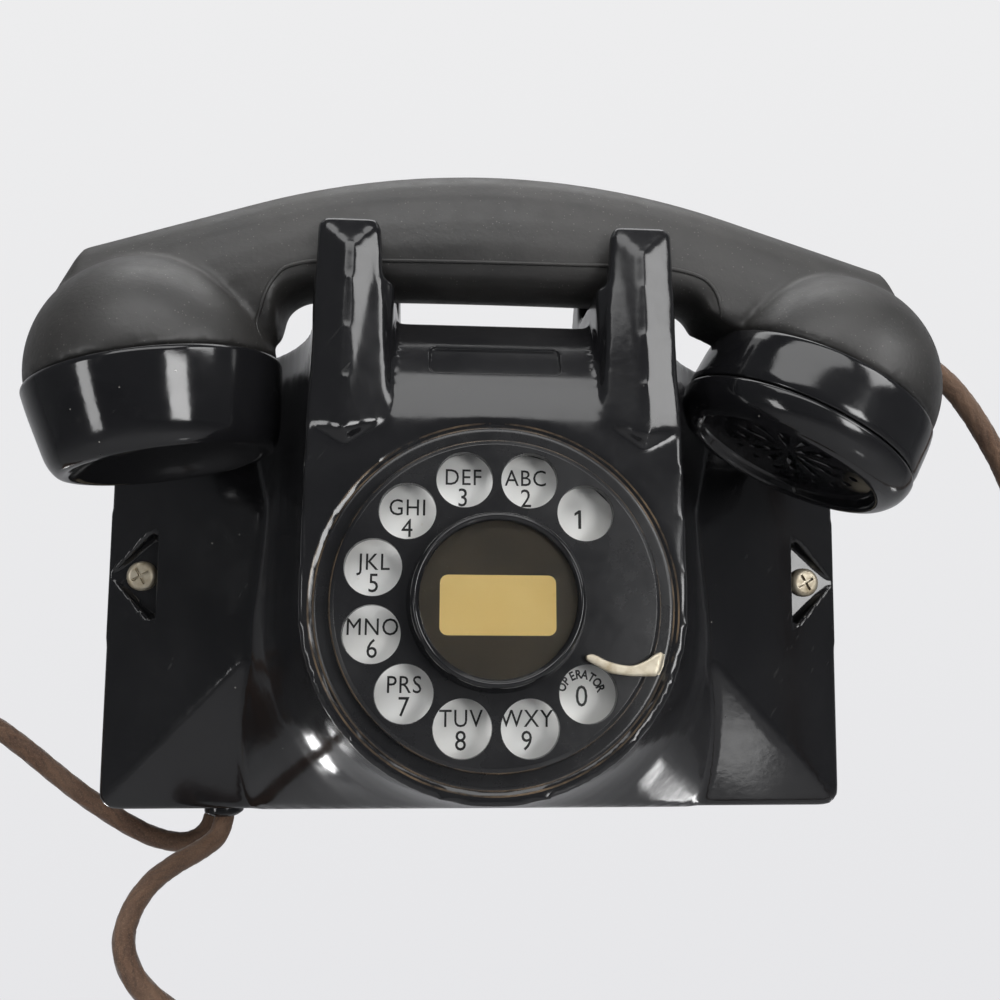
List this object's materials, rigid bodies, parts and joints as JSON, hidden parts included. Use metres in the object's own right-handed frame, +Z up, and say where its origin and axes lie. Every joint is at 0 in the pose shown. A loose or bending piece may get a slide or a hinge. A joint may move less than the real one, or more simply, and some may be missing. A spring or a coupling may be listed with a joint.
{
  "type": "wall telephone",
  "caption": "Wall telephone in black moulded plastic: hipped box with a forward-leaning dial tower, handset on a two-pronged cradle, brown cloth cords.",
  "frame": {"origin": "on the wall plane, on the centre line, at the wall box's mid-height", "axes": "+X to the right, +Y into the wall (the front faces -Y), +Z up"},
  "size_m": [0.3863, 0.1145, 0.3101],
  "materials": {
    "tower_bakelite": "gloss",
    "wheel_bakelite": "satin",
    "handset_bakelite": "worn matte",
    "cap_bakelite": "gloss",
    "zinc_steel": "satin",
    "nickel": "aged",
    "enamel": "gloss",
    "card": "matte",
    "clear_window": "gloss",
    "brass": "satin",
    "spring_steel": "satin",
    "brown_fibre": "matte",
    "wound_coil": "matte",
    "unit_metal": "satin",
    "brown_cloth": "braided"
  },
  "bodies": {
    "base": {"housing": "tower_bakelite", "back_plate": "zinc_steel", "housing_screws": "nickel", "dial_cup": "tower_bakelite", "number_plate": "enamel", "finger_stop": "nickel", "dial_frame": "brass", "dial_pillars": "brass", "return_spring": "spring_steel", "pulse_springs": "brass", "governor_cup": "brass", "dial_screws": "nickel", "ringer_frame": "zinc_steel", "ringer_coils": "wound_coil", "ringer_magnet": "spring_steel", "ringer_yoke": "zinc_steel", "gongs": "brass", "gong_screws": "brass", "induction_coil": "wound_coil", "condenser": "unit_metal", "condenser_strap": "zinc_steel", "terminal_board": "brown_fibre", "terminal_screws": "brass", "switch_bracket": "zinc_steel", "switch_springs": "brass", "lever_pin": "nickel", "cord_bushings": "tower_bakelite", "cord_clamp": "zinc_steel", "handset_cord": "brown_cloth", "handset_cord_coil": "brown_cloth", "handset_cord_tail": "brown_cloth", "line_cord": "brown_cloth", "line_cord_coil": "brown_cloth", "line_lugs": "brass"},
    "dial_rotor": {"finger_wheel": "wheel_bakelite", "card_ring": "wheel_bakelite", "number_card": "card", "card_window": "clear_window", "dial_spindle": "nickel", "main_gear": "brass", "pulse_cam": "brown_fibre"},
    "pinion": {"pinion_wheel": "brass"},
    "governor": {"governor": "brass"},
    "plunger_left": {"plunger_left": "nickel"},
    "plunger_right": {"plunger_right": "nickel"},
    "switch_lever": {"switch_lever": "zinc_steel"},
    "clapper": {"clapper": "zinc_steel"},
    "handset": {"handset_handle": "handset_bakelite", "receiver_cap": "cap_bakelite", "receiver_unit": "unit_metal", "receiver_contacts": "brown_fibre", "transmitter_collar": "handset_bakelite", "transmitter_cap": "cap_bakelite", "transmitter_unit": "unit_metal", "transmitter_contacts": "brown_fibre", "cord_sleeve": "handset_bakelite"}
  },
  "joints": [
    {"name": "dial_turn", "type": "hinge", "parent": "base", "child": "dial_rotor", "pos_m": [0, -0.1016, -0.0052], "axis": [0, 0.9952, -0.0976], "range_deg": [0, 330]},
    {"name": "pinion_turn", "type": "hinge", "parent": "base", "child": "pinion", "pos_m": [0, -0.09925, 0.0188], "axis": [0, 0.9952, -0.0976], "range_deg": [-1650, 0]},
    {"name": "governor_turn", "type": "hinge", "parent": "base", "child": "governor", "pos_m": [0, -0.07585, 0.00635], "axis": [1, 0, 0], "range_deg": [0, 9900]},
    {"name": "handset_lift", "type": "slide", "parent": "base", "child": "handset", "axis": [0, 0, 1], "range_m": [0, 0.03], "deforming": ["handset_cord"]},
    {"name": "plunger_left_rise", "type": "slide", "parent": "base", "child": "plunger_left", "axis": [0, 0, 1], "range_m": [0, 0.005]},
    {"name": "plunger_right_rise", "type": "slide", "parent": "base", "child": "plunger_right", "axis": [0, 0, 1], "range_m": [0, 0.005]},
    {"name": "lever_tilt", "type": "hinge", "parent": "base", "child": "switch_lever", "pos_m": [0, -0.048, 0.036], "axis": [-1, 0, 0], "range_deg": [0, 10.29]},
    {"name": "clapper_swing", "type": "hinge", "parent": "base", "child": "clapper", "pos_m": [0, -0.014, -0.008], "axis": [0, 1, 0], "range_deg": [-6, 6], "stiffness_Nm_per_rad": 0.005}
  ],
  "couplings": [
    {"joint": "pinion_turn", "follows": "dial_turn", "ratio": -5},
    {"joint": "governor_turn", "follows": "dial_turn", "ratio": 30},
    {"joint": "plunger_left_rise", "follows": "handset_lift", "ratio": 0.16667},
    {"joint": "plunger_right_rise", "follows": "handset_lift", "ratio": 0.16667},
    {"joint": "lever_tilt", "follows": "handset_lift", "rad_per_m": 5.9865}
  ]
}
